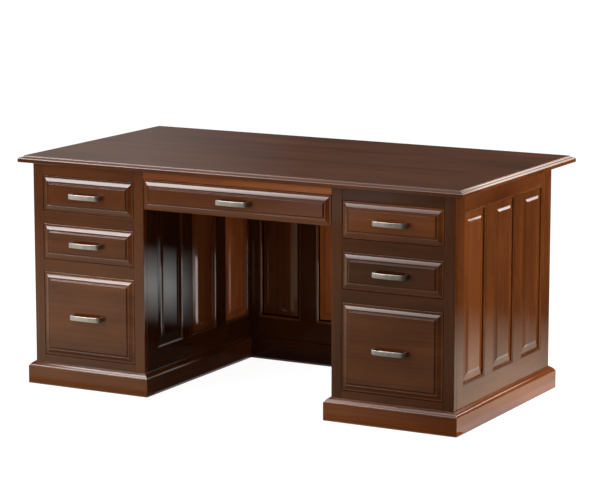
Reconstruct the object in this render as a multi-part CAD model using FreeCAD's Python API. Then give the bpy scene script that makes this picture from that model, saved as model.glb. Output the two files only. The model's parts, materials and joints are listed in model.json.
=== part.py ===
import FreeCAD, Part
import os

# A double-pedestal writing desk in millimetres. X runs to the right, Y to the back and Z up.
# Each piece is built with Y measured from the front face of the carcass, and is moved on saving so
# that the origin lies on the floor under the middle of the desk's outer box.

Vector = FreeCAD.Vector

# Carcass
carcass_width = 1596.0
carcass_depth = 762.0
carcass_height = 773.0
pedestal_width = 441.0
frame_thickness = 20.0
cut_overrun = 5.0

# Top
top_thickness = 23.0
top_side_overhang = 40.0
top_front_overhang = 36.0
top_back_overhang = 118.0
top_edge_width = 16.0
top_edge_drop = 8.0
top_edge_step = 1.5
top_lower_round = 2.0
cleat_size = 20.0

# Face frame of a pedestal
face_stile = 38.0
face_top_rail = 42.0
face_middle_rail = 42.0
face_bottom_rail = 103.0
small_opening = 125.0

# Panelled walls
wall_bottom_rail = 157.0
wall_top_rail = 67.0
knee_top_rail = 110.0
outer_front_stile = 54.0
outer_back_stile = 78.0
knee_front_stile = 76.0
knee_back_stile = 56.0
wall_mullion = 80.0
back_stile = 56.0
back_mullion = 60.0
modesty_stile = 52.0
modesty_setback = 25.0
wall_panel_pitch = 230.0
back_panel_pitch = 175.0

# Raised panels and the moulded edge of the openings that hold them
groove_depth = 9.0
panel_tongue = 6.0
panel_edge_play = 1.0
panel_face_play = 0.2
panel_margin = 6.0
panel_slope_width = 14.0
panel_slope_rise = 1.8
panel_bevel_width = 11.0
panel_bevel_rise = 4.2
sticking_width = 8.0
sticking_depth = 5.0

# Base moulding
base_projection = 20.0
base_face = 61.5
base_height = 77.5
base_shelf = 2.0
base_crown = 3.0
base_crown_step = 1.5

# Drawer fronts
front_play = 1.5
front_thickness = 19.0
front_lip = 10.0
front_lip_chamfer = 1.2
front_margin = 7.0
front_bevel_width = 12.0
front_bevel_rise = 5.5
front_ledge = 3.5
front_crown_width = 5.5

# Drawer boxes
box_wall = 13.0
box_bottom = 6.0
box_bottom_rise = 9.0
box_groove = 6.0
box_bottom_play = 0.5
box_lift = 10.0
box_headroom = 12.0
box_back_gap = 132.0
dovetail_pitch = 55.0
dovetail_pin_tip = 8.0
dovetail_pin_root = 14.0

# Telescopic slides and the timber rails that carry them
slide_thickness = 12.7
slide_wall = 1.5
slide_play = 0.5
slide_height = 35.0
slide_setback = 3.0
slide_end_gap = 10.0
file_slide_height = 46.0
file_slide_rise = 90.0
slide_rail_height = 60.0
floor_thickness = 12.0
floor_drop = 6.0

# Centre drawer and the rail above it
centre_front_height = 102.0
centre_rail_height = 28.0
centre_box_height = 70.0
centre_box_rise = 11.5
centre_back_gap = 217.0

# Pulls
pull_length = 121.0
pull_height = 17.0
pull_projection = 33.0
pull_bow = 5.0
pull_strap = 4.5
pull_foot = 8.0
pull_corner = 9.0
pull_edge = 1.4

# Bows of moulded edges, as shares of the edge's length; below zero the edge is hollow
quarter_round_share = 0.2071
soft_bow_share = 0.12

# Sizes that follow from the ones above
knee_width = carcass_width - 2 * pedestal_width
opening_width = pedestal_width - 2 * face_stile
pedestal_middle = (carcass_width - pedestal_width) / 2
modesty_front = carcass_depth - modesty_setback - frame_thickness
field_rise = front_thickness - front_lip
front_reach = max(top_front_overhang, field_rise + pull_projection)
origin_shift = (front_reach - carcass_depth - top_back_overhang) / 2
top_opening_low = carcass_height - face_top_rail - small_opening
middle_opening_low = top_opening_low - face_middle_rail - small_opening
file_opening_height = middle_opening_low - face_middle_rail - face_bottom_rail

FACINGS = {
    "front": (Vector(1, 0, 0), Vector(0, 0, 1), Vector(0, -1, 0)),
    "back": (Vector(-1, 0, 0), Vector(0, 0, 1), Vector(0, 1, 0)),
    "right": (Vector(0, 1, 0), Vector(0, 0, 1), Vector(1, 0, 0)),
    "left": (Vector(0, -1, 0), Vector(0, 0, 1), Vector(-1, 0, 0)),
}


def block(low, high):
    """Box between two corners."""
    return Part.makeBox(*(top - bottom for bottom, top in zip(low, high)), Vector(*low))


def mirrored(shape):
    """The same piece on the other side of the desk's middle plane."""
    return shape.mirror(Vector(), Vector(1, 0, 0))


def moved(shape, x, y, z):
    """A copy of a piece, shifted."""
    copy = shape.copy()
    copy.translate(Vector(x, y, z))
    return copy


def stand(piece, facing, x, y, z):
    """Stand up a piece that was made lying in XY: its top face turns to the named side."""
    turn = FreeCAD.Placement(Vector(x, y, z), FreeCAD.Rotation(*FACINGS[facing], "ZXY"))
    copy = piece.copy()
    copy.Placement = turn.multiply(piece.Placement)
    return copy


def bowed_edge(start, end, at):
    """Line or arc between two points of a rim; the end point says how far the arc bows outwards."""
    first = at(start[0], start[1])
    last = at(end[0], end[1])
    share = end[2]
    if not share:
        return Part.LineSegment(first, last).toShape()
    inset = (start[0] + end[0]) / 2 - (end[1] - start[1]) * share
    height = (start[1] + end[1]) / 2 + (end[0] - start[0]) * share
    return Part.Arc(first, at(inset, height), last).toShape()


def moulded_bar(span, run, rim):
    """Bar along Y whose section has the rim up both of its sides.

    A rim is a list of (inset from the edge, height, bow share), from the back face to the show face.
    """
    half = span / 2
    edges = []
    for side in (1, -1):
        edges += [
            bowed_edge(start, end, lambda inset, height: Vector(side * (half - inset), 0, height))
            for start, end in zip(rim, rim[1:])
        ]
    for inset, height, _ in (rim[0], rim[-1]):
        ends = (Vector(inset - half, 0, height), Vector(half - inset, 0, height))
        edges.append(Part.LineSegment(*ends).toShape())
    section = Part.Face(Part.Wire(Part.sortEdges(edges)[0]))
    return moved(section.extrude(Vector(0, run, 0)), 0, -run / 2, 0)


def moulded_slab(width, height, rim):
    """Slab lying in XY about the origin with the rim mitred round its four edges."""
    along = moulded_bar(width, height, rim)
    across = moulded_bar(height, width, rim)
    across.rotate(Vector(), Vector(0, 0, 1), 90)
    return along.common(across).Solids[0]


def desk_top():
    """Slab whose edge has a small lower round, a plain band, an ogee and a step up to the flat."""
    shoulder = top_thickness - top_edge_drop
    step = top_thickness - top_edge_step
    rim = [
        (top_lower_round, 0, 0),
        (0, top_lower_round, quarter_round_share),
        (0, shoulder, 0),
        (top_edge_width / 2, (shoulder + step) / 2, -soft_bow_share),
        (top_edge_width, step, soft_bow_share),
        (top_edge_width, top_thickness, 0),
    ]
    width = carcass_width + 2 * top_side_overhang
    depth = top_front_overhang + carcass_depth + top_back_overhang
    return [moved(moulded_slab(width, depth, rim), 0, depth / 2 - top_front_overhang, carcass_height)]


def top_cleats():
    """Strips inside the tops of the walls that the top is screwed to."""
    low = carcass_height - cleat_size
    near = frame_thickness
    far = carcass_depth - frame_thickness
    outer = -carcass_width / 2 + frame_thickness
    inner = -knee_width / 2 - frame_thickness
    pair = [
        block((outer, near, low), (outer + cleat_size, far, carcass_height)),
        block((inner - cleat_size, near, low), (inner, far, carcass_height)),
    ]
    knee = block(
        (-knee_width / 2, modesty_front - cleat_size, low),
        (knee_width / 2, modesty_front, carcass_height),
    )
    return pair + [mirrored(cleat) for cleat in pair] + [knee]


def face_frame():
    """Two stiles and four rails at the front of the left pedestal."""
    left = -carcass_width / 2
    right = left + pedestal_width
    inner_left = left + face_stile
    inner_right = right - face_stile
    rails = [
        (0, face_bottom_rail),
        (face_bottom_rail + file_opening_height, middle_opening_low),
        (middle_opening_low + small_opening, top_opening_low),
        (top_opening_low + small_opening, carcass_height),
    ]
    stiles = [
        block((left, 0, 0), (inner_left, frame_thickness, carcass_height)),
        block((inner_right, 0, 0), (right, frame_thickness, carcass_height)),
    ]
    return stiles + [block((inner_left, 0, low), (inner_right, frame_thickness, high)) for low, high in rails]


def raised_panel(width, height):
    """Panel with a thin tongue all round, a gentle slope and a steeper bevel up to its flat field."""
    cover = groove_depth - panel_edge_play
    slope_end = cover + panel_margin + panel_slope_width
    slope_top = panel_tongue + panel_slope_rise
    rim = [
        (0, 0, 0),
        (0, panel_tongue, 0),
        (cover + panel_margin, panel_tongue, 0),
        (slope_end, slope_top, 0),
        (slope_end + panel_bevel_width, slope_top + panel_bevel_rise, 0),
    ]
    return moulded_slab(width + 2 * cover, height + 2 * cover, rim)


def opening_cutters(width, height, show_faces):
    """Groove for a panel's tongue, and the moulded edge on each show face, about a wall's opening."""
    tongue_low = (frame_thickness - panel_tongue) / 2
    reach_x = width / 2 + groove_depth
    reach_y = height / 2 + groove_depth
    groove = block(
        (-reach_x, -reach_y, tongue_low - panel_face_play),
        (reach_x, reach_y, tongue_low + panel_tongue + panel_face_play),
    )
    rim = [
        (sticking_width, 0, 0),
        (0, sticking_depth, 0),
        (0, sticking_depth + cut_overrun, 0),
    ]
    flare = moulded_slab(width + 2 * sticking_width, height + 2 * sticking_width, rim)
    cutters = [groove, moved(flare, 0, 0, frame_thickness - sticking_depth)]
    if show_faces > 1:
        cutters.append(cutters[-1].mirror(Vector(0, 0, frame_thickness / 2), Vector(0, 0, 1)))
    return cutters


def panelled_wall(length, first_stile, last_stile, mullion, pitch, top_rail, show_faces):
    """Frame members and raised panels of a wall that lies in XY with its show face up."""
    high = carcass_height - top_rail
    height = high - wall_bottom_rail
    room = length - first_stile - last_stile + mullion
    count = max(1, round(room / pitch))
    width = room / count - mullion
    starts = [first_stile + place * (width + mullion) for place in range(count)]
    plans = [
        (0, 0, first_stile, carcass_height),
        (length - last_stile, 0, length, carcass_height),
        (first_stile, 0, length - last_stile, wall_bottom_rail),
        (first_stile, high, length - last_stile, carcass_height),
    ]
    plans += [(start - mullion, wall_bottom_rail, start, high) for start in starts[1:]]
    panel = raised_panel(width, height)
    if show_faces > 1:
        panel = panel.fuse(panel.mirror(Vector(0, 0, panel_tongue / 2), Vector(0, 0, 1))).removeSplitter()
    tongue_low = (frame_thickness - panel_tongue) / 2
    middle = wall_bottom_rail + height / 2
    cutters = []
    panels = []
    for start in starts:
        centre = start + width / 2
        cutters += [moved(cutter, centre, middle, 0) for cutter in opening_cutters(width, height, show_faces)]
        panels.append(moved(panel, centre, middle, tongue_low).Solids[0])
    members = [block((x0, y0, 0), (x1, y1, frame_thickness)) for x0, y0, x1, y1 in plans]
    return [member.cut(cutters).Solids[0] for member in members], panels


def stood_wall(wall, facing, x, y):
    """Both lists of a wall's pieces, stood on the floor."""
    return tuple([stand(piece, facing, x, y, 0) for piece in pieces] for pieces in wall)


def outer_wall():
    """Outer side of the left pedestal, from the back of its face frame to the back of the desk."""
    length = carcass_depth - frame_thickness
    wall = panelled_wall(
        length, outer_back_stile, outer_front_stile, wall_mullion, wall_panel_pitch, wall_top_rail, 1
    )
    return stood_wall(wall, "left", -carcass_width / 2 + frame_thickness, carcass_depth)


def knee_wall():
    """Side of the left pedestal that faces the kneehole."""
    length = carcass_depth - frame_thickness
    wall = panelled_wall(
        length, knee_front_stile, knee_back_stile, wall_mullion, wall_panel_pitch, knee_top_rail, 1
    )
    return stood_wall(wall, "right", -knee_width / 2 - frame_thickness, frame_thickness)


def back_wall():
    """Back of the left pedestal, between its two sides."""
    length = pedestal_width - 2 * frame_thickness
    wall = panelled_wall(length, back_stile, back_stile, back_mullion, back_panel_pitch, wall_top_rail, 1)
    return stood_wall(wall, "back", -knee_width / 2 - frame_thickness, carcass_depth - frame_thickness)


def modesty_wall():
    """Wall between the pedestals at the back of the kneehole, panelled on both of its faces."""
    wall = panelled_wall(
        knee_width, modesty_stile, modesty_stile, wall_mullion, wall_panel_pitch, wall_top_rail, 2
    )
    return stood_wall(wall, "front", -knee_width / 2, modesty_front + frame_thickness)


def base_run(length, first_mitre, last_mitre, facing, x, y):
    """Straight length of base moulding; a mitre is 1 round an outer corner and -1 into an inner one."""
    rim = [
        (0, 0, 0),
        (0, base_face, 0),
        (base_shelf, base_face, 0),
        (base_projection - base_crown, base_height - base_crown_step, quarter_round_share),
        (base_projection - base_crown, base_height, 0),
        (base_projection, base_height, 0),
        (base_projection, 0, 0),
        (0, 0, 0),
    ]
    start = -base_projection
    edges = [
        bowed_edge(first, last, lambda inset, height: Vector(start, height, base_projection - inset))
        for first, last in zip(rim, rim[1:])
    ]
    bar = Part.Face(Part.Wire(edges)).extrude(Vector(length + 2 * base_projection, 0, 0))
    outline = [
        Vector(0, 0, 0),
        Vector(length, 0, 0),
        Vector(length + last_mitre * base_projection, 0, base_projection),
        Vector(-first_mitre * base_projection, 0, base_projection),
    ]
    plan = Part.Face(Part.makePolygon(outline + outline[:1]))
    run = bar.common(plan.extrude(Vector(0, base_height, 0)))
    return stand(run.Solids[0], facing, x, y, 0)


def pedestal_base():
    """Base moulding round the left pedestal, broken where the modesty wall meets it."""
    left = -carcass_width / 2
    knee = -knee_width / 2
    modesty_back = modesty_front + frame_thickness
    return [
        base_run(pedestal_width, 1, 1, "front", left, 0),
        base_run(carcass_depth, 1, 1, "left", left, carcass_depth),
        base_run(pedestal_width, 1, 1, "back", knee, carcass_depth),
        base_run(modesty_front, 1, -1, "right", knee, 0),
        base_run(carcass_depth - modesty_back, -1, 1, "right", knee, modesty_back),
    ]


def modesty_base():
    """Base moulding along both faces of the modesty wall."""
    return [
        base_run(knee_width, -1, -1, "front", -knee_width / 2, modesty_front),
        base_run(knee_width, -1, -1, "back", knee_width / 2, modesty_front + frame_thickness),
    ]


def pedestal_floor():
    """Board that closes the left pedestal under its file drawer."""
    top = face_bottom_rail - floor_drop
    return [
        block(
            (-carcass_width / 2 + frame_thickness, frame_thickness, top - floor_thickness),
            (-knee_width / 2 - frame_thickness, carcass_depth - frame_thickness, top),
        )
    ]


def slide_rails(slide_middles):
    """Timber rails that bring the pedestal's sides in to the edges of the drawer openings."""
    left = -carcass_width / 2
    sides = [
        (left + frame_thickness, left + face_stile),
        (left + pedestal_width - face_stile, left + pedestal_width - frame_thickness),
    ]
    return [
        block(
            (x0, frame_thickness, middle - slide_rail_height / 2),
            (x1, carcass_depth - frame_thickness, middle + slide_rail_height / 2),
        )
        for x0, x1 in sides
        for middle in slide_middles
    ]


def slide_channel(web, lip, height, length):
    """Folded channel along Y; the web is the outside of its back and the lip the end of its flanges."""
    inward = 1 if lip > web else -1
    outer = [web, lip]
    hollow = [web + inward * slide_wall, lip + inward * cut_overrun]
    near = front_lip + slide_setback
    far = near + length
    shell = block((min(outer), near, -height / 2), (max(outer), far, height / 2))
    room = block(
        (min(hollow), near - cut_overrun, slide_wall - height / 2),
        (max(hollow), far + cut_overrun, height / 2 - slide_wall),
    )
    return shell.cut(room).Solids[0]


def slide_set(width, height, length, members):
    """Nested slide members either side of an opening, as a list of pairs from the case to the drawer."""
    case = -width / 2
    drawer = case + slide_thickness
    nest = slide_wall + slide_play
    lip = drawer - nest
    channels = [slide_channel(case, lip, height, length)]
    if members > 2:
        channels.append(slide_channel(case + nest, lip, height - 2 * nest, length))
    used = len(channels) * nest
    channels.append(slide_channel(drawer, case + used, height - 2 * used, length))
    return [[channel, mirrored(channel)] for channel in channels]


def drawer_front(width, height):
    """Front set in its opening: a margin flush with the frame, a bevel, a ledge and a raised field."""
    bevel_end = front_margin + front_bevel_width
    bevel_top = front_lip + front_bevel_rise
    rim = [
        (0, 0, 0),
        (0, front_lip - front_lip_chamfer, 0),
        (front_lip_chamfer, front_lip, 0),
        (front_margin, front_lip, 0),
        (bevel_end, bevel_top, 0),
        (bevel_end + front_ledge, bevel_top, 0),
        (bevel_end + front_ledge + front_crown_width, front_thickness, 0),
    ]
    return [stand(moulded_slab(width, height, rim), "front", 0, front_lip, height / 2)]


def dovetail_pins(width, near, far, height):
    """Pins that tie a box's end board, from near (its outside) to far, into both of its sides."""
    count = max(2, round(height / dovetail_pitch))
    pins = []
    for place in range(count):
        middle = height * (2 * place + 1) / (2 * count)
        outline = [
            Vector(-width / 2, near, middle - dovetail_pin_tip / 2),
            Vector(-width / 2, near, middle + dovetail_pin_tip / 2),
            Vector(-width / 2, far, middle + dovetail_pin_root / 2),
            Vector(-width / 2, far, middle - dovetail_pin_root / 2),
        ]
        pin = Part.Face(Part.makePolygon(outline + outline[:1])).extrude(Vector(box_wall, 0, 0))
        pins += [pin, mirrored(pin)]
    return pins


def drawer_box(width, depth, height):
    """Dovetailed box: two sides, two ends, and a bottom held in a groove round the inside."""
    near = front_lip
    far = near + depth
    inside = width / 2 - box_wall
    groove_reach = box_groove - box_wall
    bottom_reach = groove_reach - box_bottom_play
    bottom_high = box_bottom_rise + box_bottom
    groove = block(
        (-width / 2 - groove_reach, near - groove_reach, box_bottom_rise),
        (width / 2 + groove_reach, far + groove_reach, bottom_high),
    )
    bottom = block(
        (-width / 2 - bottom_reach, near - bottom_reach, box_bottom_rise),
        (width / 2 + bottom_reach, far + bottom_reach, bottom_high),
    )
    ends = []
    all_pins = []
    for outside, inner in ((near, near + box_wall), (far, far - box_wall)):
        pins = dovetail_pins(width, outside, inner, height)
        board = block((-inside, min(outside, inner), 0), (inside, max(outside, inner), height))
        ends.append(board.fuse(pins).removeSplitter().cut(groove).Solids[0])
        all_pins += pins
    side = block((-width / 2, near, 0), (-inside, far, height)).cut(all_pins + [groove]).Solids[0]
    return [side, mirrored(side)] + ends + [bottom]


def pull():
    """Strap bowed forwards between two feet that turn back to the drawer front."""
    half = pull_length / 2
    shoulder = pull_projection - pull_bow
    inner_half = half - pull_foot
    outline = [
        Part.LineSegment(Vector(-half, 0, 0), Vector(-half, -shoulder, 0)),
        Part.Arc(Vector(-half, -shoulder, 0), Vector(0, -pull_projection, 0), Vector(half, -shoulder, 0)),
        Part.LineSegment(Vector(half, -shoulder, 0), Vector(half, 0, 0)),
        Part.LineSegment(Vector(half, 0, 0), Vector(inner_half, 0, 0)),
        Part.LineSegment(Vector(inner_half, 0, 0), Vector(inner_half, pull_strap - shoulder, 0)),
        Part.Arc(
            Vector(inner_half, pull_strap - shoulder, 0),
            Vector(0, pull_strap - pull_projection, 0),
            Vector(-inner_half, pull_strap - shoulder, 0),
        ),
        Part.LineSegment(Vector(-inner_half, pull_strap - shoulder, 0), Vector(-inner_half, 0, 0)),
        Part.LineSegment(Vector(-inner_half, 0, 0), Vector(-half, 0, 0)),
    ]
    strap = Part.Face(Part.Wire([edge.toShape() for edge in outline])).extrude(Vector(0, 0, pull_height))
    corners = [
        edge
        for edge in strap.Edges
        if edge.BoundBox.ZLength > pull_height / 2 and abs(edge.CenterOfMass.x) > inner_half
        and edge.CenterOfMass.y < -shoulder / 2
    ]
    strap = strap.makeFillet(pull_corner, corners)
    rims = [
        edge
        for edge in strap.Edges
        if edge.BoundBox.ZLength < pull_edge
        and (edge.CenterOfMass.y < -shoulder or abs(edge.CenterOfMass.x) > half - pull_corner)
        and edge.BoundBox.YMin < -pull_edge
    ]
    strap = strap.makeChamfer(pull_edge, rims)
    return [moved(strap.Solids[0], 0, -field_rise, -pull_height / 2)]


def placed(pieces, x, z):
    """Pieces of a drawer shifted to its place in the desk."""
    return [moved(piece, x, 0, z) for piece in pieces]


def pedestal_drawer(low, opening_height, height_of_slide, rise_of_slide, members):
    """One drawer of the left pedestal: its own pieces, then its slides from the case to the drawer."""
    box_depth = carcass_depth - frame_thickness - box_back_gap - front_lip
    box_height = opening_height - box_lift - box_headroom
    slides = slide_set(opening_width, height_of_slide, box_depth - slide_end_gap, members)
    slide_middle = low + box_lift + rise_of_slide
    pieces = {
        "front": placed(
            drawer_front(opening_width - 2 * front_play, opening_height - 2 * front_play),
            -pedestal_middle,
            low + front_play,
        ),
        "box": placed(
            drawer_box(opening_width - 2 * slide_thickness, box_depth, box_height),
            -pedestal_middle,
            low + box_lift,
        ),
        "pull": placed(pull(), -pedestal_middle, low + opening_height / 2),
    }
    return pieces, [placed(pair, -pedestal_middle, slide_middle) for pair in slides], slide_middle


def centre_rail():
    """Rail under the front of the top, between the pedestals."""
    return [
        block(
            (-knee_width / 2, 0, carcass_height - centre_rail_height),
            (knee_width / 2, frame_thickness, carcass_height),
        )
    ]


def centre_drawer():
    """Shallow drawer over the kneehole, hung between the pedestals: its pieces and its slides."""
    front_low = carcass_height - centre_rail_height - front_play - centre_front_height
    box_low = front_low + centre_box_rise
    box_depth = modesty_front - centre_back_gap - front_lip
    slides = slide_set(knee_width, slide_height, box_depth - slide_end_gap, 2)
    pieces = {
        "front": placed(drawer_front(knee_width - 2 * front_play, centre_front_height), 0, front_low),
        "box": placed(
            drawer_box(knee_width - 2 * slide_thickness, box_depth, centre_box_height), 0, box_low
        ),
        "pull": placed(pull(), 0, front_low + centre_front_height / 2),
    }
    return pieces, [placed(pair, 0, box_low + centre_box_height / 2) for pair in slides]


def save(node, pieces):
    """Write one node, moved to the desk's origin."""
    group = Part.makeCompound(pieces)
    group.translate(Vector(0, origin_shift, 0))
    group.exportStep(os.path.join("parts", node + ".step"))


def save_drawer(name, pieces, slide_pairs):
    """Write the nodes of one drawer, with its own slide members and any that travel half as far."""
    for piece, solids in pieces.items():
        save(name + "_" + piece, solids)
    save(name + "_slides", slide_pairs[-1])
    if len(slide_pairs) > 2:
        save(name + "_middle_slides", slide_pairs[1])


def main():
    os.makedirs("parts", exist_ok=True)
    save("desk_top", desk_top())
    save("top_cleats", top_cleats())
    small_box_height = small_opening - box_lift - box_headroom
    drawers = {
        "top_drawer": pedestal_drawer(top_opening_low, small_opening, slide_height, small_box_height / 2, 2),
        "middle_drawer": pedestal_drawer(
            middle_opening_low, small_opening, slide_height, small_box_height / 2, 2
        ),
        "file_drawer": pedestal_drawer(
            face_bottom_rail, file_opening_height, file_slide_height, file_slide_rise, 3
        ),
    }
    outer_frame, outer_panels = outer_wall()
    knee_frame, knee_panels = knee_wall()
    back_frame, back_panels = back_wall()
    pedestal = {
        "face_frame": face_frame(),
        "outer_side_frame": outer_frame,
        "outer_side_panels": outer_panels,
        "inner_side_frame": knee_frame,
        "inner_side_panels": knee_panels,
        "back_frame": back_frame,
        "back_panels": back_panels,
        "base_moulding": pedestal_base(),
        "pedestal_floor": pedestal_floor(),
        "slide_rails": slide_rails([middle for _, _, middle in drawers.values()]),
        "case_slides": [member for _, slides, _ in drawers.values() for member in slides[0]],
    }
    for side, turn in (("left", lambda piece: piece), ("right", mirrored)):
        for node, pieces in pedestal.items():
            save(side + "_" + node, [turn(piece) for piece in pieces])
        for name, (pieces, slides, _) in drawers.items():
            turned = {part: [turn(piece) for piece in solids] for part, solids in pieces.items()}
            save_drawer(side + "_" + name, turned, [[turn(piece) for piece in pair] for pair in slides])
    modesty_frame, modesty_panels = modesty_wall()
    save("modesty_frame", modesty_frame)
    save("modesty_panels", modesty_panels)
    save("modesty_base_moulding", modesty_base())
    save("centre_rail", centre_rail())
    pieces, slides = centre_drawer()
    save_drawer("centre_drawer", pieces, slides)
    save("centre_case_slides", slides[0])


main()
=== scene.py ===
import json
import math

import bpy
import numpy as np
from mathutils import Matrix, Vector

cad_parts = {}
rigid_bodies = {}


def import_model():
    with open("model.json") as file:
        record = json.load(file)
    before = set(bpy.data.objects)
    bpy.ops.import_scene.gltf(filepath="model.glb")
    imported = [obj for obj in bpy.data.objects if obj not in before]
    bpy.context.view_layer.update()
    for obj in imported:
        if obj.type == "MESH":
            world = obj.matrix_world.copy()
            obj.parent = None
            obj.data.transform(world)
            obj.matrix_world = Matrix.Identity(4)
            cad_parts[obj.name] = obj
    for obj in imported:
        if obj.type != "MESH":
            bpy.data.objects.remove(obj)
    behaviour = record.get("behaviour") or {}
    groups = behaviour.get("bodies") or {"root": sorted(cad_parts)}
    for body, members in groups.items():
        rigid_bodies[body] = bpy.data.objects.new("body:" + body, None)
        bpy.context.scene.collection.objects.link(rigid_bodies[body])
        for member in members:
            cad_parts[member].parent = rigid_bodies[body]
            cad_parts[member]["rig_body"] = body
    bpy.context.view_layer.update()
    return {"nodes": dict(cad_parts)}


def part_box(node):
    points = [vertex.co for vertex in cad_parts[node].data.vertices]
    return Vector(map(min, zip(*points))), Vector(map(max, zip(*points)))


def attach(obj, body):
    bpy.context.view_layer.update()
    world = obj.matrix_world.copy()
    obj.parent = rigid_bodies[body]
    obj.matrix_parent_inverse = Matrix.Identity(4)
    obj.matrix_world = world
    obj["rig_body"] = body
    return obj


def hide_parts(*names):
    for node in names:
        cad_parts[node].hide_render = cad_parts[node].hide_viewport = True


# A double-pedestal writing desk in dark stained wood. Shapes are worked out in millimetres: X from the
# middle of the desk, Y from the front of the carcass and Z from the floor, as in the solid model.

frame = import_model()
MM = 0.001
CARCASS_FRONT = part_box("left_face_frame")[0].y / MM
GRAIN_SEED = 1204
draw = np.random.default_rng(GRAIN_SEED)

# Carcass and top
CARCASS_WIDTH, CARCASS_DEPTH, CARCASS_HEIGHT = 1596.0, 762.0, 773.0
PEDESTAL_WIDTH, FRAME_THICKNESS = 441.0, 20.0
TOP_THICKNESS, TOP_SIDE, TOP_FRONT, TOP_BACK = 23.0, 40.0, 36.0, 118.0
TOP_EDGE_WIDTH, TOP_EDGE_DROP, TOP_EDGE_STEP, TOP_LOWER_ROUND = 16.0, 11.0, 1.5, 2.0
TOP_PLANK = 0.132
TOP_OGEE_SETBACK, TOP_OGEE_BOW, TOP_STEP_SLOPE, TOP_FLAT = 0.6, 0.12, 0.2, 8.0

# Face frame, drawer fronts and pulls
FACE_STILE, FACE_TOP_RAIL, FACE_MIDDLE_RAIL, FACE_BOTTOM_RAIL = 38.0, 42.0, 42.0, 103.0
SMALL_OPENING, CENTRE_RAIL_HEIGHT = 125.0, 28.0
FRONT_LIP, FRONT_THICKNESS, FRONT_CHAMFER, FRONT_MARGIN = 10.0, 19.0, 1.2, 7.0
FRONT_BEVEL_WIDTH, FRONT_BEVEL_RISE = 12.0, 5.5
FRONT_LEDGE, FRONT_CROWN_WIDTH, FRONT_QUIRK = 5.6, 3.4, 0.9
PULL_LENGTH, PULL_HEIGHT, PULL_PROJECTION, PULL_BOW = 121.0, 17.0, 32.8, 5.0
PULL_STRAP, PULL_FOOT, PULL_CORNER = 4.5, 8.0, 10.0
PULL_SIDE_POWER, PULL_RISE_POWER = 0.55, 0.4

# Panelled walls
WALL_BOTTOM_RAIL, WALL_TOP_RAIL, KNEE_TOP_RAIL = 157.0, 67.0, 110.0
OUTER_STILES, KNEE_STILES, BACK_STILE, MODESTY_STILE = (78.0, 54.0), (76.0, 56.0), 56.0, 52.0
WALL_MULLION, BACK_MULLION, WALL_PITCH, BACK_PITCH = 80.0, 60.0, 230.0, 175.0
MODESTY_SETBACK = 25.0
PANEL_COVER, PANEL_TONGUE, PANEL_MARGIN = 8.0, 6.0, 6.0
PANEL_SLOPE, PANEL_BEVEL = (14.0, 1.8), (11.0, 4.2)
FIELD_FLAT = 6.0
STICKING_WIDTH, STICKING_DEPTH, STICKING_FILLET, TONGUE_PLAY = 8.0, 5.0, 0.8, 0.2

# Base moulding
BASE_PROJECTION, BASE_FACE, BASE_HEIGHT, BASE_SHELF = 20.0, 61.5, 77.5, 2.0
BASE_CROWN, BASE_CROWN_STEP, BASE_CAP_POWER = 3.0, 1.5, 1.45

# Eased edges, and how much of the stain is rubbed off them
BOARD_EASE, CORNER_EASE, MOULDING_EASE = 0.3, 1.2, 0.9
TOP_EASE, STICKING_EASE, BASE_EASE = 0.5, 0.4, 0.7
EASE_SHARE, GUARD_REACH, SHARP_ANGLE = 0.33, 1.4, math.radians(40)
BOARD_WEAR, CORNER_WEAR = 0.25, 0.8
END_ANGLES = np.radians([78, 39, 0, 0])
BEVEL_HOLLOW = -0.015
SLAB_CORNERS = np.array([[-1, -1], [1, -1], [1, 1], [-1, 1]])

# Tone of the stain: 0 is the usual tone, 1 is twice as light. Each board strays a little from its own. Some
# tones below also hold painted light and shade, as said at each.
GRAIN_SHIFT, TONE_SPREAD, MIRROR_TONE_SPREAD = 3.0, 0.05, 0.04
# The outer walls' top rail is made lighter: painted light where the top's overhang would shade it.
OUTER_PANEL_TONES, OUTER_FRAME_TONE, OUTER_RAIL_PAINTED_LIGHT = (-0.2, 0.1, 0.35), -0.2, 0.3
# Kneehole side walls: panels darker at the front and lighter at the back, and a darker frame, are painted
# shade and light.
KNEE_PANEL_PAINTED_SHADING, KNEE_FRAME_PAINTED_SHADE = (-0.6, 0.3, 2.4), -0.5
# Modesty wall: its panel tones are painted light and shade; its frame and front base run are darkened with
# painted shade.
MODESTY_PANEL_PAINTED_SHADING, MODESTY_FRAME_PAINTED_SHADE, MODESTY_BASE_PAINTED_SHADE = (-0.2, 2.0, 0.9), -0.65, -0.6
# The centre rail is made much lighter: painted light under the top's front edge.
CENTRE_RAIL_PAINTED_LIGHT = 1.8
# Right pedestal: its face frame is darkened and its base moulding lightened, painted shade and light for that
# side.
RIGHT_PEDESTAL_PAINTED_SHADING = {"face_frame": -0.25, "base_moulding": 0.6}
# Each drawer front's rim and field
DRAWER_TONES = {
    "left_top_drawer": (0.1, 0.35),
    "left_middle_drawer": (0.25, 0.0),
    "left_file_drawer": (0.2, 0.1),
    "right_top_drawer": (0.28, 0.48),
    "right_middle_drawer": (0.1, -0.28),
    "right_file_drawer": (0.1, 0.05),
    "centre_drawer": (0.3, 0.3),
}

# Colours of the finishes
STAIN_DARK, STAIN_MIDDLE, STAIN_LIGHT = (0.07, 0.0165, 0.0038), (0.13, 0.0345, 0.008), (0.2, 0.058, 0.0135)
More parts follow.
